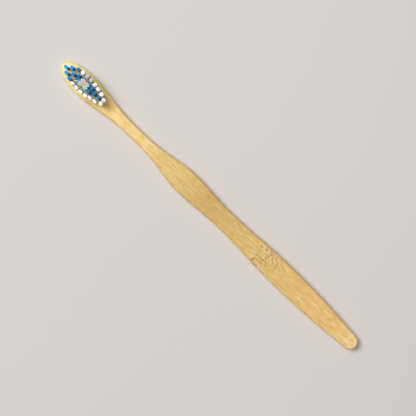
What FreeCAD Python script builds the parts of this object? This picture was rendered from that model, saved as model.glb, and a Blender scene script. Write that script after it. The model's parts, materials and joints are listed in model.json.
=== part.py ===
"""Manual toothbrush: a bamboo handle whose head holds rows of nylon tufts, each folded over a metal anchor.

The brush lies on its flat back. +X runs along the handle towards the tip of the head, +Y across it, and +Z up,
the way the bristles point. The origin is on the back face, under the middle of the length. Sizes are in
millimetres and angles in degrees.
"""

import FreeCAD
import Part
import itertools
import math
import os
import string
from collections import namedtuple

Vector = FreeCAD.Vector
UP = Vector(0, 0, 1)

# Outline seen from above: the widths at its five stations, and the distances from one station to the next
TIP_TO_HEAD = 15.5
HEAD_WIDTH = 11.3
HEAD_TO_NECK = 31.7
NECK_WIDTH = 5.3
NECK_TO_BELLY = 31.6
BELLY_WIDTH = 11.4
BELLY_TO_WAIST = 26.4
WAIST_WIDTH = 9.0
WAIST_TO_GRIP = 36.1
GRIP_WIDTH = 11.6
GRIP_TO_END = 47.7
END_RADIUS = 3.5
END_TAPER = 5.0

# How the outline flows: the share of each span over which it holds the direction of the station at either end
Hold = namedtuple("Hold", "leaving arriving")
TIP_HOLD = Hold(0.33, 0.85)
HEAD_HOLD = Hold(0.26, 0.56)
NECK_HOLD = Hold(0.60, 0.31)
BELLY_HOLD = Hold(0.42, 0.42)
WAIST_HOLD = Hold(0.31, 0.37)
GRIP_HOLD = Hold(0.45, 0.32)
RISE_HOLD = Hold(0.50, 0.50)

# Side view: the head is thinner than the handle, and both have rounded edges
HEAD_THICKNESS = 4.8
HANDLE_THICKNESS = 6.0
TOP_EDGE_RADIUS = 0.8
BACK_EDGE_RADIUS = 1.6
HEEL_MARGIN = 3.6

# Tuft field: rows across the head, from the tip to the heel, each with its number of tufts and its reach,
# the share of the head's half-width at which its outermost tufts stand
TIP_TO_FIRST_ROW = 3.8
FIRST_ROW_STEP = 2.0
ROW_PITCH = 2.6
Row = namedtuple("Row", "tufts reach")
ROWS = [
    Row(1, 0.0),
    Row(2, 0.38),
    Row(3, 0.58),
    Row(4, 0.65),
    Row(4, 0.65),
    Row(4, 0.63),
    Row(4, 0.62),
    Row(3, 0.53),
    Row(3, 0.47),
    Row(2, 0.24),
]

# Holes, tufts and anchors
HOLE_DIAMETER = 1.6
HOLE_FLOOR = 1.6
TUFT_CLEARANCE = 0.02
TUFT_HEIGHT = 10.5
TUFT_CROWN = 0.3
TIP_GAP = 0.15
FOLD_THICKNESS = 0.5
ANCHOR_THICKNESS = 0.25
ANCHOR_HEIGHT = 1.4
ANCHOR_BITE = 0.2
ANCHOR_ANGLE = 45.0

# Room that a cutting tool takes beyond the piece that it cuts
OVERCUT = 1.0

# Places that follow from the sizes above, measured from the tip
HEAD_AT = TIP_TO_HEAD
NECK_AT = HEAD_AT + HEAD_TO_NECK
BELLY_AT = NECK_AT + NECK_TO_BELLY
WAIST_AT = BELLY_AT + BELLY_TO_WAIST
GRIP_AT = WAIST_AT + WAIST_TO_GRIP
LENGTH = GRIP_AT + GRIP_TO_END
WIDEST = max(HEAD_WIDTH, BELLY_WIDTH, GRIP_WIDTH)

HOLE_RADIUS = HOLE_DIAMETER / 2
TUFT_RADIUS = HOLE_RADIUS - TUFT_CLEARANCE
TUFT_TOP = HEAD_THICKNESS + TUFT_HEIGHT
ANCHOR_LENGTH = HOLE_DIAMETER + 2 * ANCHOR_BITE
ANCHOR_BOTTOM = HOLE_FLOOR + FOLD_THICKNESS


def from_tip(distance, y=0.0, z=0.0):
    """The point at a distance from the brush's tip."""
    return Vector(LENGTH / 2 - distance, y, z)


def bezier(start, start_control, end_control, end):
    """A cubic curve that leaves start towards its control point and reaches end from the other one."""
    curve = Part.BezierCurve()
    curve.setPoles([start, start_control, end_control, end])
    return curve.toShape()


def flowing_span(x_start, half_start, x_end, half_end, hold):
    """The outline between two stations, parallel to the axis at both."""
    span = x_end - x_start
    return bezier(
        from_tip(x_start, half_start),
        from_tip(x_start + hold.leaving * span, half_start),
        from_tip(x_end - hold.arriving * span, half_end),
        from_tip(x_end, half_end),
    )


def tip_curve():
    """The nose of the head, square to the axis at the tip and parallel to it at the head's widest point."""
    half = HEAD_WIDTH / 2
    return bezier(
        from_tip(0),
        from_tip(0, TIP_HOLD.leaving * half),
        from_tip(HEAD_AT - TIP_HOLD.arriving * TIP_TO_HEAD, half),
        from_tip(HEAD_AT, half),
    )


def end_tangent_point():
    """Where the taper of the grip runs into the round end, and the taper's direction towards the tip."""
    taper = math.radians(END_TAPER)
    along = LENGTH - END_RADIUS + END_RADIUS * math.sin(taper)
    point = from_tip(along, END_RADIUS * math.cos(taper))
    return point, Vector(math.cos(taper), math.sin(taper), 0)


def taper_curve():
    """The grip's long taper, tangent to the round end."""
    half = GRIP_WIDTH / 2
    end, towards_tip = end_tangent_point()
    span = GRIP_TO_END - END_RADIUS
    return bezier(
        from_tip(GRIP_AT, half),
        from_tip(GRIP_AT + GRIP_HOLD.leaving * span, half),
        end + towards_tip * (GRIP_HOLD.arriving * span),
        end,
    )


def outline_face():
    """The whole outline as a flat face on the back plane: one side, its mirror image and the round end."""
    side = [
        tip_curve(),
        flowing_span(HEAD_AT, HEAD_WIDTH / 2, NECK_AT, NECK_WIDTH / 2, HEAD_HOLD),
        flowing_span(NECK_AT, NECK_WIDTH / 2, BELLY_AT, BELLY_WIDTH / 2, NECK_HOLD),
        flowing_span(BELLY_AT, BELLY_WIDTH / 2, WAIST_AT, WAIST_WIDTH / 2, BELLY_HOLD),
        flowing_span(WAIST_AT, WAIST_WIDTH / 2, GRIP_AT, GRIP_WIDTH / 2, WAIST_HOLD),
        taper_curve(),
    ]
    mirrored = [edge.mirror(Vector(), Vector(0, 1, 0)) for edge in side]
    end, _ = end_tangent_point()
    round_end = Part.Arc(end, from_tip(LENGTH), Vector(end.x, -end.y, 0)).toShape()
    wire = Part.Wire(Part.__sortEdges__(side + [round_end] + mirrored))
    return Part.Face(wire)


def row_distance(number):
    """How far a row of tufts is from the tip. Row 1 is the one nearest to it."""
    if number == 1:
        return TIP_TO_FIRST_ROW
    return TIP_TO_FIRST_ROW + FIRST_ROW_STEP + (number - 2) * ROW_PITCH


def row_centres(number, row, outline):
    """Centres of a row's tufts, evenly spread from -Y to +Y across the head."""
    distance = row_distance(number)
    if row.tufts == 1:
        return [from_tip(distance)]
    probe = Part.makeLine(from_tip(distance), from_tip(distance, WIDEST))
    outermost = row.reach * probe.common(outline).Length
    step = 2 * outermost / (row.tufts - 1)
    return [from_tip(distance, -outermost + i * step) for i in range(row.tufts)]


def tuft_tip_radius(centres):
    """The tufts flare until the closest two nearly touch at their tips."""
    closest = min(one.distanceToPoint(other) for one, other in itertools.combinations(centres, 2))
    return (closest - TIP_GAP) / 2


def side_profile():
    """The brush seen from the side: flat back, flat head, and a top that rises through the neck to the handle."""
    heel = row_distance(len(ROWS)) + HEEL_MARGIN
    rise = BELLY_AT - heel
    beyond = LENGTH + OVERCUT
    corners = [
        from_tip(heel, 0, HEAD_THICKNESS),
        from_tip(-OVERCUT, 0, HEAD_THICKNESS),
        from_tip(-OVERCUT),
        from_tip(beyond),
        from_tip(beyond, 0, HANDLE_THICKNESS),
        from_tip(BELLY_AT, 0, HANDLE_THICKNESS),
    ]
    neck_rise = bezier(
        corners[-1],
        from_tip(BELLY_AT - RISE_HOLD.arriving * rise, 0, HANDLE_THICKNESS),
        from_tip(heel + RISE_HOLD.leaving * rise, 0, HEAD_THICKNESS),
        corners[0],
    )
    wire = Part.Wire(Part.makePolygon(corners).Edges + [neck_rise])
    return Part.Face(wire)


def rim_edges(solid, is_top):
    """The curved edges that run round the top or the back. The straight ones are only seams between faces."""
    curved = [edge for edge in solid.Edges if not isinstance(edge.Curve, (Part.Line, Part.LineSegment))]
    middle = min(HEAD_THICKNESS, HANDLE_THICKNESS) / 2
    return [edge for edge in curved if (edge.CenterOfMass.z > middle) == is_top]


def handle_blank(outline):
    """The handle before drilling: the outline, cut to the side profile, with its edges rounded."""
    thickest = max(HEAD_THICKNESS, HANDLE_THICKNESS)
    plate = outline.extrude(UP * (thickest + OVERCUT))
    profile = side_profile()
    profile.translate(Vector(0, -WIDEST, 0))
    blank = plate.common(profile.extrude(Vector(0, 2 * WIDEST, 0))).Solids[0]
    blank = blank.makeFillet(BACK_EDGE_RADIUS, rim_edges(blank, is_top=False))
    return blank.makeFillet(TOP_EDGE_RADIUS, rim_edges(blank, is_top=True))


def anchor_plate(centre, height):
    """A thin plate on edge across a tuft hole, longer than the hole is wide, from the anchors' level upwards."""
    corner = Vector(-ANCHOR_LENGTH / 2, -ANCHOR_THICKNESS / 2, ANCHOR_BOTTOM)
    plate = Part.makeBox(ANCHOR_LENGTH, ANCHOR_THICKNESS, height, corner)
    plate.rotate(Vector(), UP, ANCHOR_ANGLE)
    plate.translate(centre)
    return plate


def tuft_socket(centre):
    """What one tuft takes out of the head: a blind round hole, and the slit that its anchor cuts on the way in."""
    hole_depth = HEAD_THICKNESS - HOLE_FLOOR
    hole = Part.makeCylinder(HOLE_RADIUS, hole_depth + OVERCUT, centre + UP * HOLE_FLOOR)
    slit = anchor_plate(centre, HEAD_THICKNESS - ANCHOR_BOTTOM + OVERCUT)
    return hole.fuse(slit)


def handle(outline, centres):
    """The bamboo handle with a socket for every tuft."""
    sockets = Part.makeCompound([tuft_socket(centre) for centre in centres])
    return handle_blank(outline).cut(sockets).Solids[0]


def tuft(centre, tip_radius):
    """One bundle of filaments: it fills its hole, flares above the head, is crowned and folds under the anchor."""
    shoulder = TUFT_TOP - TUFT_CROWN
    profile = [
        Vector(0, 0, HOLE_FLOOR),
        Vector(TUFT_RADIUS, 0, HOLE_FLOOR),
        Vector(TUFT_RADIUS, 0, HEAD_THICKNESS),
        Vector(tip_radius, 0, shoulder),
    ]
    top = Vector(0, 0, TUFT_TOP)
    crown_radius = (tip_radius ** 2 + TUFT_CROWN ** 2) / (2 * TUFT_CROWN)
    half_angle = math.asin(tip_radius / crown_radius) / 2
    crown_middle = top - UP * crown_radius + Vector(math.sin(half_angle), 0, math.cos(half_angle)) * crown_radius
    crown = Part.Arc(profile[-1], crown_middle, top).toShape()
    axis = Part.makeLine(top, profile[0])
    section = Part.Face(Part.Wire(Part.makePolygon(profile).Edges + [crown, axis]))
    bundle = section.revolve(Vector(), UP, 360)
    bundle.translate(centre)
    return bundle.cut(anchor_plate(centre, ANCHOR_HEIGHT)).Solids[0]


def main():
    os.makedirs("parts", exist_ok=True)
    outline = outline_face()
    rows = [row_centres(number, row, outline) for number, row in enumerate(ROWS, start=1)]
    centres = list(itertools.chain.from_iterable(rows))
    tip_radius = tuft_tip_radius(centres)
    handle(outline, centres).exportStep("parts/handle.step")
    for number, row in enumerate(rows, start=1):
        for letter, centre in zip(string.ascii_lowercase, row):
            tuft(centre, tip_radius).exportStep(f"parts/tuft_row{number:02d}_{letter}.step")
        anchors = Part.makeCompound([anchor_plate(centre, ANCHOR_HEIGHT) for centre in row])
        anchors.exportStep(f"parts/anchors_row{number:02d}.step")
    print(f"length {LENGTH:.1f} mm, {len(centres)} tufts, {2 * tip_radius:.2f} mm wide at the tip")


main()
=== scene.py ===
"""The looks of a bamboo toothbrush: sanded bamboo with its grain and a node, and tufts of nylon filaments.

Everything is in the brush's own frame: +X towards the tip of the head, +Z out of the bristles. Lengths are
in metres, apart from the places and sizes that finishes are drawn by, which are in millimetres.
"""

import json
import math
import random

import bpy
from mathutils import Euler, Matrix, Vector


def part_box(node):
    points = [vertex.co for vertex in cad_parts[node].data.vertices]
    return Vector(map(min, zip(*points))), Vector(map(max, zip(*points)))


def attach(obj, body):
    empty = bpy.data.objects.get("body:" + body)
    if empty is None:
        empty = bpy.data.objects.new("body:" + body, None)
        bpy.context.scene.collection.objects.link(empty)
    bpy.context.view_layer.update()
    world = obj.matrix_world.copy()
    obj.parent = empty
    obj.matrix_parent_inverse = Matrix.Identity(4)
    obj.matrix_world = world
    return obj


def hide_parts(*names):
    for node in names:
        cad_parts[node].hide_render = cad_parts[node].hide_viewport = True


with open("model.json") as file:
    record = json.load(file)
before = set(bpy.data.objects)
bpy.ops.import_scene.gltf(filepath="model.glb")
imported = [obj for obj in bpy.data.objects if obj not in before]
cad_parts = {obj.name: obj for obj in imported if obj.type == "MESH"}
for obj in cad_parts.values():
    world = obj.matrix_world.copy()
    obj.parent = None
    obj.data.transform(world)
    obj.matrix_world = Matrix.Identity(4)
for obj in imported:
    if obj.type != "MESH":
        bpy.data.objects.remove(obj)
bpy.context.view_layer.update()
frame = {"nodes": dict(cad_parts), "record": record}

MM = 0.001

# Picture: the brush lies askew in it, seen from straight above through a long lens
PICTURE_WIDTH = 193.3 * MM
PICTURE_CENTRE = Vector((-0.6 * MM, 1.3 * MM, 3.0 * MM))
BRUSH_SLANT = 44.07
LENS = 130.0
SENSOR = 36.0

# Light: a key from beyond the head's tip, a little to the +Y side, a softbox overhead, and an even sky
KEY_HEIGHT_ANGLE = 66.0
KEY_SIDE_ANGLE = 12.0
KEY_DISTANCE = 1.6
KEY_SIZE = 0.68
KEY_POWER = 17.9
OVERHEAD_HEIGHT = 1.5
OVERHEAD_SIZE = 0.6
OVERHEAD_POWER = 5.3
SKY_COLOUR = (1.0, 1.0, 1.0, 1.0)
SKY_STRENGTH = 0.17

# Floor: pale paint, clouded a little
FLOOR_SIZE = 6.0
FLOOR_PAINTS = ("d2cdca", "d8d3cf")
FLOOR_CLOUDS = (260.0, 260.0, 260.0)
FLOOR_ROUGHNESS = 0.9

# Tufts: how many filaments they have, how these sit in the hole, and how they spread to the tip
FILAMENTS = {"nylon_blue": 100, "nylon_white": 126, "nylon_clear": 112, "nylon_ice": 160}
FILAMENT_RADIUS = 0.1 * MM
HOLE_RADIUS = 0.8 * MM
HOLE_CLEARANCE = 0.03 * MM
HEAD_TOP = 4.8 * MM
ANCHOR_HALF_GAP = 0.16 * MM
ANCHOR_ANGLE = 45.0
GOLDEN_ANGLE = math.pi * (3 - math.sqrt(5))
TIP_SPREAD = {"nylon_blue": 0.9, "nylon_white": 0.94, "nylon_clear": 0.94, "nylon_ice": 1.0}
UNEVEN_SPREAD = 0.07
FLARE_POWER = 1.3
TUFT_LEAN = 0.15 * MM
TUFT_CROWN = 0.2 * MM
UNEVEN_CROWN = 0.4

# Tufts: most ends hardly leave their place, by a share of a filament's radius, and a few go astray
LOOSE_SHARE = 0.15
STRAY = 0.35 * MM
STRAY_POWER = 21.0

# Filament: the sides and rings of its tube, which crowd towards the tip, and the broken edge of its cut end
TUBE_SIDES = 6
TUBE_RINGS = 6
RING_CROWDING = 3.4
BROKEN_HEIGHT = 0.002
BROKEN_WIDTH = 0.96
CUT_FACES_UP = 0.95

# The foremost tufts and those along the +Y edge are longer than wide at the tip
FOREMOST = 86.0 * MM
FOREMOST_NARROWS = Vector((1.14, 0.84, 1.0))
OUTERMOST = 2.0 * MM
OUTERMOST_NARROWS = Vector((1.14, 0.7, 1.0))

# The four ice tufts lean together and spread lengthwise into one patch
ICE_MIDDLE = 79.6 * MM
ICE_LENGTHWISE = 1.5
ICE_HUDDLE = Vector((0.12 * MM, 0.38 * MM, 0.0))

# One blue tuft is paler at the tips on one side
HALF_PALE_TUFT = "tuft_row04_c"

# Nylon: tones at the root, along the body and at the tip, and the accents at some of the tips. The deeper
# tone at the root is painted shade low in the tufts, and the lighter tip tones of the blue, white and clear
# tufts are painted light
BLUE_TONES = ("0076b2", "007ebc", "0084c2")
WHITE_TONES = ("f0f0ee", "f8f8f6", "fdfdfb")
CLEAR_TONES = ("b8b9b5", "cfd0cd", "d8dad7")
ICE_TONES = ("9cc8e2", "c4e0f0", "dcd2c3")
# Painted highlight on the blue tips of the rows nearest the tip of the head
PAINTED_HIGHLIGHT_BLUE = "1cb4f6"
PALE_BLUE = "e4f2fa"
ICE_BLUE = "c0e2f6"

# Nylon: where one tone turns into the next, in millimetres
# From the painted shade at the root to the body tone, and on to the tip tone
ROOT_TO_BODY = (4.5, 10.0)
BODY_TO_TIP = (14.2, 15.4)
UNEVEN_TIP = 0.6
# Where the painted highlight starts on the foremost blue tufts
PAINTED_HIGHLIGHT_BLUE_STARTS = (84.5, 89.0)
PALE_SIDE_STARTS = (82.3, 81.8)
ICE_RIM_STARTS = (1.7, 2.7)

# Nylon: gloss, and how much the filaments of one tuft differ
SATIN = 0.08
GLOSSY = 0.4
NYLON_ROUGHNESS = (0.35, 0.55)
DEEPER_FILAMENTS = 0.25

# Anchors: drawn wire with lines along it
WIRE_TONES = ("b8934a", "dcc07c")
WIRE_LINES = (3.0, 3.0, 0.06)
WIRE_ROUGHNESS = (0.28, 0.48)

# Bamboo: its run of colour from the round end, at 0, to the tip of the head, at 1. Its pale lemon end at the
# tip of the head is painted light
CULM_ENDS = (-95.0, 95.0)
CULM_TONES = [
    (0.00, "f5d293"),
    (0.10, "e6be74"),
    (0.35, "d9b86c"),
    (0.50, "cca860"),
    (0.62, "debf74"),
    (0.78, "f5d890"),
    (0.87, "f4d384"),
    (0.93, "fdeb9a"),
    (1.00, "fff8ac"),
]

# Bamboo: the tones that lie over its run of colour, and how strongly each of them shows
WOOD_LAYERS = {
    # Painted light: the wood between the tufts is painted near white
    "drilled field": ("fffae0", 0.9),
    "strands": ("dca448", 0.22),
    "pale fibres": ("fff0c8", 0.38),
    "dark fibres": ("cf962a", 0.5),
    "hairs": ("bb8a2c", 0.4),
    "mottles": ("c09444", 0.35),
    # Painted shade on the rounded edges, in patches
    "rim": ("f4b84c", 0.65),
    "vessels": ("cc8c10", 0.85),
    "scar": ("9c5e00", 1.0),
    "heart of the scar": ("744000", 0.5),
    "bundles": ("a8742c", 0.6),
    "pores": ("6e4010", 0.95),
}
# Painted light: the edge tone turns pale yellow towards the tip of the head
RIM_LIGHT_AT_TIP = "ffe67c"
PALE_BESIDE_SCAR = 0.395

# Bamboo: how long and how wide its patterns are, in millimetres
STRANDS = {"length": 45.0, "width": 1.7}
FIBRES = {"length": 7.0, "width": 0.38, "roughness": 0.6}
HAIRS = {"length": 5.0, "width": 0.12, "detail": 3.0, "roughness": 0.6}
MOTTLES = {"length": 1.6, "width": 1.3}
RIM_PATCHES = {"length": 9.0, "width": 4.0}
VESSEL_CROWDS = {"length": 25.0, "width": 5.0}
GRAIN_WANDERS = (50.0, 30.0, 30.0)
GRAIN_WANDER = 2.0

# Bamboo: the levels of a pattern between which it comes out
STRANDS_SHOW = (0.45, 0.75)
PALE_FIBRES_SHOW = (0.5, 0.7)
DARK_FIBRES_SHOW = (0.5, 0.32)
HAIRS_SHOW = (0.5, 0.3)
MOTTLES_SHOW = (0.4, 0.7)
RIM_SHOWS = (0.3, 0.6)
VESSELS_CROWD = (0.3, 0.5)
SCAR_DARKENS = (0.75, 1.0)

# Bamboo: how squarely a face looks up or down where walls and rims begin or end, or endways at a cut end
WALL_STARTS = (0.9, 0.3)
RIM_STARTS = (0.99, 0.8)
RIM_ENDS = (0.1, 0.5)
CUT_END_STARTS = (0.6, 0.9)

# Bamboo: spots, one to a cell of a length and a width in millimetres, with a radius in cells
SHORT_VESSELS = {"length": 5.0, "width": 0.65, "radius": 0.31, "share": 0.7}
LONG_VESSELS = {"length": 18.0, "width": 0.9, "radius": 0.21, "share": 0.35}
NODE_DOTS = {"length": 1.5, "width": 0.9, "radius": 0.38, "share": 0.95, "scatter": 0.8}
NODE_DASHES = {"length": 2.4, "width": 1.1, "radius": 0.32, "share": 0.95, "scatter": 0.8}
NODE_DASH_STRENGTH = 0.7
END_BUNDLES = {"length": 0.8, "width": 0.7, "radius": 0.36, "share": 0.8}
SPOT_SIZES = (0.6, 1.4)
SPOT_STRENGTHS = (0.6, 1.0)
SPOT_CORE = 0.4
SPOT_ONSET = 0.1

# Bamboo: how outlines turn ragged, by the size of the steps and how far they reach, in millimetres
RAGGED_SCAR = (0.16, 0.1)
RAGGED_PORES = (0.08, 0.1)
RAGGED_BUNDLES = (0.1, 0.1)

# Bamboo: places on the handle, in millimetres. A third number is how soft the ends are, or a pore's radius
HANDLE_TOP = 6.0
UPPER_HALF = (3.0, 4.0)
NODE_SLANT = 0.37
NODE_DOTTED = (-38.2, -31.8, 1.2)
NODE_DASHED = (-42.5, -37.5, 1.2)
NODE_PALE = (-41.0, -32.0, 2.0)
PORES = [(-30.9, -3.2, 0.45), (-31.4, 1.4, 0.35)]
MOTTLED = (-3.0, 5.0, 2.5)
DRILLED_MIDDLE = 80.6
DRILLED_HALF_LENGTH = 12.0
DRILLED_HALF_WIDTH = 4.4
DRILLED_EDGE = (1.15, 0.85)
# Where the painted edge shade turns into painted light, towards the tip of the head
RIM_TURNS_YELLOW = (70.0, 88.0)
VESSELS_FADE = (58.0, 74.0)
VESSELS_LEFT = (1.0, 0.35)

# Bamboo: relief in metres and gloss, and what each pattern adds to them
GRAIN_DEPTH = 0.04 * MM
WOOD_RELIEF = {"fibres": 0.4, "hairs": 0.3, "strands": 0.3, "vessels": -0.3, "scar": -0.2, "bundles": -0.2}
WOOD_ROUGHNESS = 0.46
WOOD_ROUGHENING = {"fibres": 0.12, "hairs": 0.12, "scar": 0.1}
WOOD_GLOSS = 0.35


def colour(hex_digits):
    """A colour written as on a paint chart, as the linear colour that a shader takes."""
    channels = [int(hex_digits[i:i + 2], 16) / 255 for i in (0, 2, 4)]
    linear = [c / 12.92 if c <= 0.04045 else ((c + 0.055) / 1.055) ** 2.4 for c in channels]
    return (*linear, 1.0)


class Field:
    """A value that varies over a surface or a set of points. Arithmetic on it adds Math nodes."""

    def __init__(self, graph, socket):
        self.graph = graph
        self.socket = socket

    def math(self, operation, *others):
        return self.graph.maths(operation, self, *others)

    def __add__(self, other):
        return self.math("ADD", other)

    __radd__ = __add__

    def __mul__(self, other):
        return self.math("MULTIPLY", other)

    __rmul__ = __mul__

    def __sub__(self, other):
        return self.math("SUBTRACT", other)

    def __rsub__(self, other):
        return self.graph.maths("SUBTRACT", other, self)

    def __truediv__(self, other):
        return self.math("DIVIDE", other)

    def __rtruediv__(self, other):
        return self.graph.maths("DIVIDE", other, self)

    def __pow__(self, other):
        return self.math("POWER", other)

    def __abs__(self):
        return self.math("ABSOLUTE")

    def between(self, low, high):
        """Goes from low to high as the value goes from 0 to 1."""
        return low + self * (high - low)


class Graph:
    """A node tree under construction, for a material or for geometry."""

    def __init__(self, tree):
        self.tree = tree
        tree.nodes.clear()

    def node(self, kind, settings=None, inputs=None):
        """Adds a node: its settings first, then the values or links of its sockets, by name or number."""
        node = self.tree.nodes.new(kind)
        for name, value in (settings or {}).items():
            if name == "stops":
                self.set_stops(node.color_ramp, value)
            else:
                setattr(node, name, value)
        for key, value in (inputs or {}).items():
            socket = self.pick(node.inputs, key)
            if isinstance(value, Field):
                self.tree.links.new(value.socket, socket)
            else:
                socket.default_value = value
        return node

    @staticmethod
    def set_stops(ramp, stops):
        """Lets a colour ramp run smoothly through its stops, each a place from 0 to 1 and a colour."""
        ramp.interpolation = "EASE"
        while len(ramp.elements) < len(stops):
            ramp.elements.new(0.5)
        for element, (place, tone) in zip(ramp.elements, stops):
            element.position = place
            element.color = tone

    @staticmethod
    def pick(sockets, key):
        """The socket with that name or number, among those that the node's settings leave in use."""
        used = [socket for socket in sockets if socket.enabled]
        if isinstance(key, int):
            return used[key]
        return next(socket for socket in used if socket.name == key)

    def field(self, kind, settings=None, inputs=None, output=0):
        """One output of a new node."""
        return Field(self, self.pick(self.node(kind, settings, inputs).outputs, output))

    def maths(self, operation, *operands):
        return self.field("ShaderNodeMath", {"operation": operation}, dict(enumerate(operands)))

    def vector_maths(self, operation, *operands):
        return self.field("ShaderNodeVectorMath", {"operation": operation}, dict(enumerate(operands)))

    def vector(self, x, y, z):
        return self.field("ShaderNodeCombineXYZ", inputs={"X": x, "Y": y, "Z": z})

    def parts(self, vector):
        """The three parts of a vector."""
        node = self.node("ShaderNodeSeparateXYZ", inputs={"Vector": vector})
        return [Field(self, output) for output in node.outputs]

    def stretched(self, vector, x, y, z):
        """A vector scaled so that one unit of pattern is x by y by z long."""
        return self.vector_maths("MULTIPLY", vector, (1 / x, 1 / y, 1 / z))

    def noise(self, vector, detail=2.0, roughness=0.5, output=0):
        return self.field(
            "ShaderNodeTexNoise",
            inputs={"Vector": vector, "Scale": 1.0, "Detail": detail, "Roughness": roughness},
            output=output,
        )

    def grain(self, surface, length, width, detail=2.0, roughness=0.5):
        """Noise drawn out to a length and a width on an unrolled surface."""
        return self.noise(self.stretched(surface, length, width, 1.0), detail, roughness)

    def ragged(self, vector, size, reach):
        """A vector shifted here and there by up to about reach, so that outlines on it turn ragged."""
        steps = self.stretched(vector, size, size, size)
        shift = self.noise(steps, output="Color")
        shift = self.vector_maths("SUBTRACT", shift, (0.5, 0.5, 0.5))
        shift = self.vector_maths("SCALE", shift, 2 * reach)
        return self.vector_maths("ADD", vector, shift)

    def spots(self, surface, length, width, radius, share, scatter=1.0, where=None):
        """Scattered spots on an unrolled surface, one to a cell of a length and width, in a share of them.
        The radius is in cells, and where says how likely a spot is at a place along and across."""
        cells = self.node(
            "ShaderNodeTexVoronoi",
            {"voronoi_dimensions": "2D"},
            {"Vector": self.stretched(surface, length, width, 1.0), "Scale": 1.0, "Randomness": scatter},
        )
        distance = Field(self, cells.outputs["Distance"])
        pick, size, strength = self.parts(Field(self, cells.outputs["Color"]))
        along, across, _ = self.parts(Field(self, cells.outputs["Position"]))
        if where:
            pick = pick + where(along * length, across * width) - 1
        spot = self.ramp(distance / (radius * size.between(*SPOT_SIZES)), 1.0, SPOT_CORE)
        picked = self.ramp(pick, 1 - share, 1 - share + SPOT_ONSET)
        return spot * picked * strength.between(*SPOT_STRENGTHS)

    def ramp(self, value, low, high, ends=(0.0, 1.0), straight=False):
        """Goes from one end to the other as value goes from low to high, smoothly or in a straight line."""
        return self.field(
            "ShaderNodeMapRange",
            {"interpolation_type": "LINEAR" if straight else "SMOOTHSTEP"},
            {"Value": value, "From Min": low, "From Max": high, "To Min": ends[0], "To Max": ends[1]},
        )

    def band(self, value, low, high, soft):
        """One between low and high, and nought outside, with soft ends."""
        start = self.ramp(value, low - soft, low + soft)
        end = self.ramp(value, high - soft, high + soft, (1.0, 0.0))
        return start * end

    def mix(self, first, second, share):
        """A mix of two colours."""
        return self.field("ShaderNodeMix", {"data_type": "RGBA"}, {"Factor": share, "A": first, "B": second})

    def tones(self, value, stops):
        """A colour that runs through a few stops as value goes from 0 to 1."""
        return self.field("ShaderNodeValToRGB", {"stops": stops}, {0: value})


class Finish(Graph):
    """A material under construction."""

    def __init__(self, name):
        self.material = bpy.data.materials.new(name)
        self.material.use_nodes = True
        super().__init__(self.material.node_tree)

    def place(self):
        """Where a point is on the object, in millimetres."""
        inside = Field(self, self.node("ShaderNodeTexCoord").outputs["Object"])
        return self.vector_maths("SCALE", inside, 1 / MM)

    def normal(self):
        """The direction that the object's own surface faces."""
        return Field(self, self.node("ShaderNodeTexCoord").outputs["Normal"])

    def relief(self, height, depth):
        """Surface relief of a given depth, in metres."""
        return self.field("ShaderNodeBump", inputs={"Strength": 1.0, "Distance": depth, "Height": height})

    def surface(self, **sockets):
        """The finished surface. Underscores in the names stand for spaces."""
        named = {name.replace("_", " "): value for name, value in sockets.items()}
        shader = self.node("ShaderNodeBsdfPrincipled", inputs=named)
        output = self.node("ShaderNodeOutputMaterial")
        self.tree.links.new(shader.outputs["BSDF"], output.inputs["Surface"])
        return self.material


def unrolled(finish, x, y, z, upright):
    """The surface rolled out flat: the side walls fold out beside the top and the back. It wanders a little
    to either side along the handle, as grain does."""
    wall = finish.ramp(upright, *WALL_STARTS)
    outward = y / (y * y + 1.0).math("SQRT")
    wander = finish.noise(finish.stretched(finish.vector(x, y, z), *GRAIN_WANDERS)) - 0.5
    return finish.vector(x, y + outward * (HANDLE_TOP - z) * wall + wander * GRAIN_WANDER, 0.0)


def culm_tone(finish, x):
    """The slow change of colour along the handle, with painted light in its pale yellow end at the tip of
    the head.
    """
    stops = [(place, colour(tone)) for place, tone in CULM_TONES]
    return finish.tones(finish.ramp(x, *CULM_ENDS, straight=True), stops)


def vessel_dashes(finish, surface, x):
    """Dark dashes where vessels come to the surface: many short ones in crowds, and a few long ones. They
    fade towards the head."""
    crowded = finish.ramp(finish.grain(surface, **VESSEL_CROWDS), *VESSELS_CROWD)
    short = finish.spots(surface, **SHORT_VESSELS) * crowded
    long = finish.spots(surface, **LONG_VESSELS)
    return short.math("MAXIMUM", long) * finish.ramp(x, *VESSELS_FADE, VESSELS_LEFT)


def node_scar(finish, surface):
    """The scar of a node, slanting across the grip: brown dots, and paler dashes towards the round end."""
    def dotted(along, across):
        return finish.band(along - across * NODE_SLANT, *NODE_DOTTED)

    def dashed(along, across):
        return finish.band(along - across * NODE_SLANT, *NODE_DASHED)

    surface = finish.ragged(surface, *RAGGED_SCAR)
    dots = finish.spots(surface, **NODE_DOTS, where=dotted)
    dashes = finish.spots(surface, **NODE_DASHES, where=dashed) * NODE_DASH_STRENGTH
    return dots.math("MAXIMUM", dashes)


def large_pores(finish, place):
    """A few large dark pores beside the node."""
    x, y, _ = finish.parts(finish.ragged(place, *RAGGED_PORES))

    def pore(at_x, at_y, radius):
        distance = ((x - at_x) ** 2.0 + (y - at_y) ** 2.0).math("SQRT")
        return finish.ramp(distance, radius, radius * SPOT_CORE)

    return sum(pore(*spot) for spot in PORES)


def end_grain(finish, y, z):
    """The cut ends of the fibre bundles, seen at the tip of the head and at the round end."""
    return finish.spots(finish.ragged(finish.vector(y, z, 0.0), *RAGGED_BUNDLES), **END_BUNDLES)


def painted_light_between_tufts(finish, x, y):
    """The oval field of the head that is drilled for the tufts, painted pale there: painted light between
    the tufts.
    """
    along = (x - DRILLED_MIDDLE) / DRILLED_HALF_LENGTH
    across = y / DRILLED_HALF_WIDTH
    return finish.ramp(along ** 2.0 + across ** 2.0, *DRILLED_EDGE)


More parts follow.
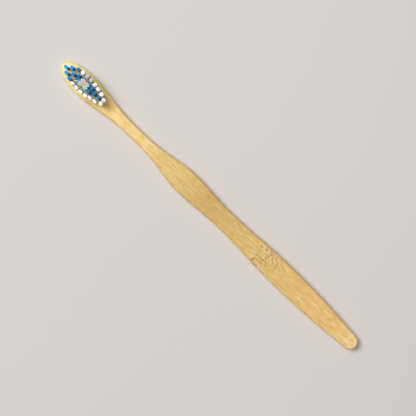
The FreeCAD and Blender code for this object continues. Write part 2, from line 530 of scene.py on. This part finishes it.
def painted_rim_shade(finish, surface, upright):
    """The rounded edges, in patches: painted shade, a deeper orange where the edges turn away from the
    light.
    """
    rounded = finish.ramp(upright, *RIM_STARTS) * finish.ramp(upright, *RIM_ENDS)
    return rounded * finish.ramp(finish.grain(surface, **RIM_PATCHES), *RIM_SHOWS)


def bamboo():
    """Sanded bamboo, split lengthwise: fine fibres, dark vessels, end grain, and the scar of one node."""
    finish = Finish("sanded_bamboo")
    place = finish.place()
    x, y, z = finish.parts(place)
    endways, _, upright = [abs(part) for part in finish.parts(finish.normal())]
    surface = unrolled(finish, x, y, z, upright)
    on_top = finish.ramp(z, *UPPER_HALF)
    cut_across = finish.ramp(endways, *CUT_END_STARTS)
    lengthwise = 1 - cut_across

    patterns = {
        "strands": finish.grain(surface, **STRANDS),
        "fibres": finish.grain(surface, **FIBRES),
        "hairs": finish.grain(surface, **HAIRS),
        "vessels": vessel_dashes(finish, surface, x),
        "scar": node_scar(finish, surface),
        "bundles": end_grain(finish, y, z) * cut_across,
    }
    pale_fibres = finish.ramp(patterns["fibres"], *PALE_FIBRES_SHOW) * lengthwise
    beside_scar = finish.band(x - y * NODE_SLANT, *NODE_PALE) * PALE_BESIDE_SCAR
    mottles = finish.grain(surface, **MOTTLES) * finish.band(x, *MOTTLED)

    # Where each layer shows, in the order in which they lie over one another
    layers = {
        # Painted light between the tufts of the head
        "drilled field": painted_light_between_tufts(finish, x, y) * on_top,
        "strands": finish.ramp(patterns["strands"], *STRANDS_SHOW),
        "pale fibres": pale_fibres + beside_scar,
        "dark fibres": finish.ramp(patterns["fibres"], *DARK_FIBRES_SHOW) * lengthwise,
        "hairs": finish.ramp(patterns["hairs"], *HAIRS_SHOW) * lengthwise,
        "mottles": finish.ramp(mottles, *MOTTLES_SHOW),
        # Painted shade on the rounded edges
        "rim": painted_rim_shade(finish, surface, upright),
        "vessels": patterns["vessels"] * lengthwise,
        "scar": patterns["scar"],
        "heart of the scar": finish.ramp(patterns["scar"], *SCAR_DARKENS),
        "bundles": patterns["bundles"],
        "pores": large_pores(finish, place) * on_top,
    }
    tones = {name: colour(digits) for name, (digits, _) in WOOD_LAYERS.items()}
    # The painted edge shade turns into painted light towards the tip of the head
    tones["rim"] = finish.mix(tones["rim"], colour(RIM_LIGHT_AT_TIP), finish.ramp(x, *RIM_TURNS_YELLOW))
    wood = culm_tone(finish, x)
    for name, (_, strength) in WOOD_LAYERS.items():
        wood = finish.mix(wood, tones[name], layers[name] * strength)

    height = sum(patterns[name] * rise for name, rise in WOOD_RELIEF.items())
    roughening = sum(patterns[name] * more for name, more in WOOD_ROUGHENING.items())
    return finish.surface(
        Base_Color=wood,
        Roughness=WOOD_ROUGHNESS + roughening,
        Specular_IOR_Level=WOOD_GLOSS,
        Normal=finish.relief(height, GRAIN_DEPTH),
    )


def highlit_foremost_rows(finish, x, y):
    """The three rows nearest the tip of the head, where the blue tips are painted paler: a painted
    highlight.
    """
    return finish.ramp(x, *PAINTED_HIGHLIGHT_BLUE_STARTS)


def pale_side(finish, x, y):
    """The side of the half pale tuft that faces the middle of the head."""
    return finish.ramp(x - y, *PALE_SIDE_STARTS)


def outside_of_four(finish, x, y):
    """The outer side of the four ice tufts in the middle of the head."""
    distance = ((x - ICE_MIDDLE / MM) ** 2.0 + y ** 2.0).math("SQRT")
    return finish.ramp(distance, *ICE_RIM_STARTS)


def nylon(name, tones, accent=None, where=None, gloss=SATIN):
    """Nylon filament: deeper at the root, as painted shade low in the tuft, another tone at the tip, lighter
    as painted light in most tufts, and an accent at the tip in some places.
    Each filament differs a little from the next."""
    root, body, tip = map(colour, tones)
    finish = Finish(name)
    x, y, height = finish.parts(finish.place())
    shade = finish.field("ShaderNodeAttribute", {"attribute_name": "shade"}, output="Fac")
    # Painted shade: deeper towards the root
    tint = finish.mix(root, body, finish.ramp(height, *ROOT_TO_BODY))
    if where:
        tip = finish.mix(tip, colour(accent), where(finish, x, y))
    # The tip tone, lighter in most tufts as painted light
    tint = finish.mix(tint, tip, finish.ramp(height + shade * UNEVEN_TIP, *BODY_TO_TIP))
    tint = finish.mix(tint, root, shade * DEEPER_FILAMENTS)
    return finish.surface(
        Base_Color=tint,
        Roughness=shade.between(*NYLON_ROUGHNESS),
        Specular_IOR_Level=gloss,
    )


def anchor_metal():
    """Drawn flat wire with fine lines along it."""
    finish = Finish("drawn_wire")
    lines = finish.noise(finish.stretched(finish.place(), *WIRE_LINES), detail=3.0)
    tint = finish.mix(*map(colour, WIRE_TONES), lines)
    return finish.surface(Base_Color=tint, Metallic=1.0, Roughness=lines.between(*WIRE_ROUGHNESS))


def floor_paint():
    """A plain pale floor."""
    finish = Finish("pale_floor")
    clouds = finish.noise(finish.stretched(finish.place(), *FLOOR_CLOUDS))
    tint = finish.mix(*map(colour, FLOOR_PAINTS), clouds)
    return finish.surface(Base_Color=tint, Roughness=FLOOR_ROUGHNESS)


# What the tree that grows a tuft is told about it
TUFT_INPUTS = {
    "Filaments": "NodeSocketInt",
    "Filament radius": "NodeSocketFloat",
    "Root radius": "NodeSocketFloat",
    "Tip spread": "NodeSocketVector",
    "Root height": "NodeSocketFloat",
    "Mouth height": "NodeSocketFloat",
    "Tip height": "NodeSocketFloat",
    "Crown": "NodeSocketFloat",
    "Anchor half gap": "NodeSocketFloat",
    "Anchor angle": "NodeSocketFloat",
    "Lean": "NodeSocketVector",
    "Stray": "NodeSocketFloat",
    "Centre": "NodeSocketVector",
    "Seed": "NodeSocketInt",
    "Finish": "NodeSocketMaterial",
}

# Random numbers that each filament draws, and what each of them adds to the tuft's seed
DRAWS = {"astray along": 1, "astray across": 2, "end": 3, "shade": 4}


class Tuft(Graph):
    """The tree that grows one tuft: filaments parted by the anchor at the root and spreading to the tip."""

    def __init__(self):
        super().__init__(bpy.data.node_groups.new("tuft_of_filaments", "GeometryNodeTree"))
        sockets = self.tree.interface
        sockets.new_socket(name="Geometry", in_out="OUTPUT", socket_type="NodeSocketGeometry")
        for name, kind in TUFT_INPUTS.items():
            sockets.new_socket(name=name, in_out="INPUT", socket_type=kind)
        given = self.node("NodeGroupInput")
        self.size = {name: Field(self, given.outputs[name]) for name in TUFT_INPUTS}
        self.index = self.field("GeometryNodeInputIndex")
        self.dress(self.placed(self.filaments()))

    def draw(self, name, low, high):
        """One of the random numbers of a filament."""
        return self.field(
            "FunctionNodeRandomValue",
            {"data_type": "FLOAT"},
            {"Min": low, "Max": high, "ID": self.index, "Seed": self.size["Seed"] + DRAWS[name]},
        )

    def astray(self, name):
        """How far an end leaves its place: most hardly do, and a few do a lot."""
        chance = self.draw(name, -1.0, 1.0)
        loose = chance * self.size["Filament radius"] * LOOSE_SHARE
        return loose + chance ** STRAY_POWER * self.size["Stray"]

    def turned(self, along, across):
        """Turns a place given along and across the anchor into the brush's own directions."""
        cosine = self.size["Anchor angle"].math("COSINE")
        sine = self.size["Anchor angle"].math("SINE")
        return along * cosine - across * sine, along * sine + across * cosine

    def ends(self):
        """The root and the tip of each filament, from the middle of its hole. Filaments are spread evenly,
        as the seeds of a sunflower are."""
        size = self.size
        reach = ((self.index + 0.5) / size["Filaments"]).math("SQRT")
        turn = self.index * GOLDEN_ANGLE
        along = turn.math("COSINE") * reach
        across = turn.math("SINE") * reach

        gap_share = size["Anchor half gap"] / size["Root radius"]
        parted = across.math("SIGN") * (gap_share + abs(across) * (1 - gap_share))
        root_x, root_y = self.turned(along * size["Root radius"], parted * size["Root radius"])

        spread = self.parts(size["Tip spread"])
        lean = self.parts(size["Lean"])
        end_x, end_y = self.turned(along, across)
        tip_x = end_x * spread[0] + lean[0] + self.astray("astray along")
        tip_y = end_y * spread[1] + lean[1] + self.astray("astray across")
        tip_z = size["Tip height"] - size["Crown"] * (reach ** 2.0 + self.draw("end", 0.0, UNEVEN_CROWN))
        return self.vector(root_x, root_y, size["Root height"]), self.vector(tip_x, tip_y, tip_z)

    def tube(self):
        """One filament as a thin tube of unit radius and height, cut flat at the top with a broken edge."""
        line = self.field("GeometryNodeCurvePrimitiveLine", inputs={"Start": (0, 0, 0), "End": (0, 0, 1)})
        line = self.field("GeometryNodeResampleCurve", inputs={"Curve": line, "Count": TUBE_RINGS})
        along = self.field("GeometryNodeSplineParameter", output="Factor")
        left = (1 - along) ** RING_CROWDING
        rise = self.vector(0.0, 0.0, 1 - left)
        line = self.field("GeometryNodeSetPosition", inputs={"Geometry": line, "Position": rise})
        width = self.ramp(left, 0.0, BROKEN_HEIGHT, (BROKEN_WIDTH, 1.0))
        line = self.field("GeometryNodeSetCurveRadius", inputs={"Curve": line, "Radius": width})
        ring = self.field(
            "GeometryNodeCurvePrimitiveCircle", inputs={"Resolution": TUBE_SIDES, "Radius": 1.0}
        )
        tube = self.field(
            "GeometryNodeCurveToMesh", inputs={"Curve": line, "Profile Curve": ring, "Fill Caps": True}
        )
        facing_up = abs(self.parts(self.field("GeometryNodeInputNormal"))[2])
        round_about = facing_up.math("LESS_THAN", CUT_FACES_UP)
        return self.field(
            "GeometryNodeSetShadeSmooth",
            inputs={"Geometry": tube, "Selection": round_about, "Shade Smooth": True},
        )

    def filaments(self):
        """A tube for each filament, all in one place still, which knows its root, its tip and its shade."""
        root, tip = self.ends()
        kept = {
            "root": ("FLOAT_VECTOR", root),
            "tip": ("FLOAT_VECTOR", tip),
            "shade": ("FLOAT", self.draw("shade", 0.0, 1.0)),
        }
        points = self.field("GeometryNodePoints", inputs={"Count": self.size["Filaments"]})
        for name, (kind, value) in kept.items():
            points = self.field(
                "GeometryNodeStoreNamedAttribute",
                {"data_type": kind, "domain": "POINT"},
                {"Geometry": points, "Name": name, "Value": value},
            )
        tubes = self.field(
            "GeometryNodeInstanceOnPoints", inputs={"Points": points, "Instance": self.tube()}
        )
        return self.field("GeometryNodeRealizeInstances", inputs={"Geometry": tubes})

    def read(self, name):
        """The parts of a vector that each tube knows."""
        known = self.field("GeometryNodeInputNamedAttribute", {"data_type": "FLOAT_VECTOR"}, {"Name": name})
        return self.parts(known)

    def placed(self, tubes):
        """Draws each tube out from its root to its tip: upright in the hole, and flaring above its mouth."""
        size = self.size
        side_x, side_y, up = self.parts(self.field("GeometryNodeInputPosition"))
        root, tip = self.read("root"), self.read("tip")
        centre = self.parts(size["Centre"])
        mouth = (size["Mouth height"] - size["Root height"]) / (size["Tip height"] - size["Root height"])
        flare = self.maths("MAXIMUM", (up - mouth) / (1 - mouth), 0.0) ** FLARE_POWER
        place = self.vector(
            centre[0] + root[0] + (tip[0] - root[0]) * flare + side_x * size["Filament radius"],
            centre[1] + root[1] + (tip[1] - root[1]) * flare + side_y * size["Filament radius"],
            root[2] + (tip[2] - root[2]) * up,
        )
        return self.field("GeometryNodeSetPosition", inputs={"Geometry": tubes, "Position": place})

    def dress(self, tuft):
        """Forgets what only the growing needed, and gives the tuft its material."""
        for name in ("root", "tip"):
            tuft = self.field("GeometryNodeRemoveAttribute", inputs={"Geometry": tuft, "Name": name})
        material = self.size["Finish"]
        tuft = self.field("GeometryNodeSetMaterial", inputs={"Geometry": tuft, "Material": material})
        self.node("NodeGroupOutput", inputs={0: tuft})


def spread_and_lean(slot, centre, seed):
    """How far the tip of a tuft spreads each way, as a share of its CAD solid, and how far it leans."""
    chance = random.Random(seed)
    least, most = 1 - UNEVEN_SPREAD, 1 + UNEVEN_SPREAD
    spread = Vector([TIP_SPREAD[slot] * chance.uniform(least, most) for _ in range(3)])
    lean = Vector((TUFT_LEAN, 0, 0))
    lean.rotate(Euler((0, 0, chance.uniform(0, 2 * math.pi))))
    if centre.y > OUTERMOST:
        spread *= OUTERMOST_NARROWS
    elif centre.x > FOREMOST:
        spread *= FOREMOST_NARROWS
    if slot == "nylon_ice":
        spread.x *= ICE_LENGTHWISE
        lean.x -= math.copysign(ICE_HUDDLE.x, centre.x - ICE_MIDDLE)
        lean.y -= math.copysign(ICE_HUDDLE.y, centre.y)
    return spread, lean


def grow_tuft(tree, node, seed, slot, finish):
    """One tuft as a plain mesh, grown where its CAD node is."""
    low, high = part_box(node)
    centre = (low + high) / 2
    spread, lean = spread_and_lean(slot, centre, seed)
    values = {
        "Filaments": FILAMENTS[slot],
        "Filament radius": FILAMENT_RADIUS,
        "Root radius": HOLE_RADIUS - FILAMENT_RADIUS - HOLE_CLEARANCE,
        "Tip spread": spread * (high.x - low.x) / 2,
        "Root height": low.z,
        "Mouth height": HEAD_TOP,
        "Tip height": high.z,
        "Crown": TUFT_CROWN,
        "Anchor half gap": ANCHOR_HALF_GAP,
        "Anchor angle": math.radians(ANCHOR_ANGLE),
        "Lean": lean,
        "Stray": STRAY,
        "Centre": (centre.x, centre.y, 0.0),
        "Seed": seed,
        "Finish": finish,
    }
    piece = bpy.data.objects.new(node.replace("tuft", "filaments"), bpy.data.meshes.new(node + "_start"))
    bpy.context.scene.collection.objects.link(piece)
    grower = piece.modifiers.new("grow", "NODES")
    grower.node_group = tree
    for item in tree.interface.items_tree:
        if item.in_out == "INPUT":
            grower[item.identifier] = values[item.name]
    depsgraph = bpy.context.evaluated_depsgraph_get()
    grown = bpy.data.meshes.new_from_object(
        piece.evaluated_get(depsgraph), preserve_all_data_layers=True, depsgraph=depsgraph
    )
    piece.modifiers.remove(grower)
    piece.data = grown
    return piece


def dress_tufts(slots):
    """Puts filaments in the place of every tuft's solid."""
    finishes = {
        # The foremost blue tips get a painted highlight
        "nylon_blue": nylon("blue_nylon", BLUE_TONES, PAINTED_HIGHLIGHT_BLUE, highlit_foremost_rows),
        "nylon_white": nylon("white_nylon", WHITE_TONES, gloss=GLOSSY),
        "nylon_clear": nylon("clear_nylon", CLEAR_TONES),
        "nylon_ice": nylon("ice_nylon", ICE_TONES, ICE_BLUE, outside_of_four),
    }
    half_pale = nylon("half_pale_nylon", BLUE_TONES, PALE_BLUE, pale_side)
    tree = Tuft().tree
    tufts = sorted(node for node in frame["nodes"] if node.startswith("tuft"))
    for seed, node in enumerate(tufts):
        slot = slots[node]
        finish = half_pale if node == HALF_PALE_TUFT else finishes[slot]
        piece = grow_tuft(tree, node, seed, slot, finish)
        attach(piece, "root")
        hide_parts(node)


def dress_nodes(slots):
    """Gives the handle and the anchors their finish."""
    finishes = {"bamboo": bamboo(), "anchor_wire": anchor_metal()}
    for node, piece in frame["nodes"].items():
        if slots[node] in finishes:
            for material_slot in piece.material_slots:
                material_slot.material = finishes[slots[node]]


def lay_floor():
    """The floor that the brush lies on."""
    bpy.ops.mesh.primitive_plane_add(size=FLOOR_SIZE)
    floor = bpy.context.object
    floor.name = "floor"
    floor.data.materials.append(floor_paint())


def open_sky():
    """Even light from all around."""
    world = bpy.data.worlds.new("sky")
    bpy.context.scene.world = world
    world.use_nodes = True
    sky = world.node_tree.nodes["Background"]
    sky.inputs["Color"].default_value = SKY_COLOUR
    sky.inputs["Strength"].default_value = SKY_STRENGTH


def hang_softbox(name, place, size, power):
    """A square lamp that faces the brush."""
    light = bpy.data.lights.new(name, "AREA")
    light.size = size
    light.energy = power
    lamp = bpy.data.objects.new(name, light)
    lamp.location = place
    lamp.rotation_euler = place.to_track_quat("Z", "Y").to_euler()
    bpy.context.scene.collection.objects.link(lamp)


def hang_lamps():
    """The key and the overhead lamp."""
    height = math.radians(KEY_HEIGHT_ANGLE)
    side = math.radians(KEY_SIDE_ANGLE)
    level = math.cos(height)
    towards_key = Vector((level * math.cos(side), level * math.sin(side), math.sin(height)))
    hang_softbox("key", towards_key * KEY_DISTANCE, KEY_SIZE, KEY_POWER)
    hang_softbox("overhead", Vector((0, 0, OVERHEAD_HEIGHT)), OVERHEAD_SIZE, OVERHEAD_POWER)


def set_camera():
    """A camera straight above the brush, so far up that its picture is as wide as it should be."""
    lens = bpy.data.cameras.new("camera")
    lens.lens = LENS
    lens.sensor_width = SENSOR
    camera = bpy.data.objects.new("camera", lens)
    camera.location = PICTURE_CENTRE + Vector((0, 0, PICTURE_WIDTH * LENS / SENSOR))
    camera.rotation_euler = (0, 0, math.radians(180 + BRUSH_SLANT))
    bpy.context.scene.collection.objects.link(camera)
    bpy.context.scene.camera = camera


lay_floor()
open_sky()
hang_lamps()
set_camera()
node_slots = {part["node"]: part["material_slot"] for part in frame["record"]["subparts"]}
dress_nodes(node_slots)
dress_tufts(node_slots)

bpy.context.scene.view_settings.view_transform = "Standard"
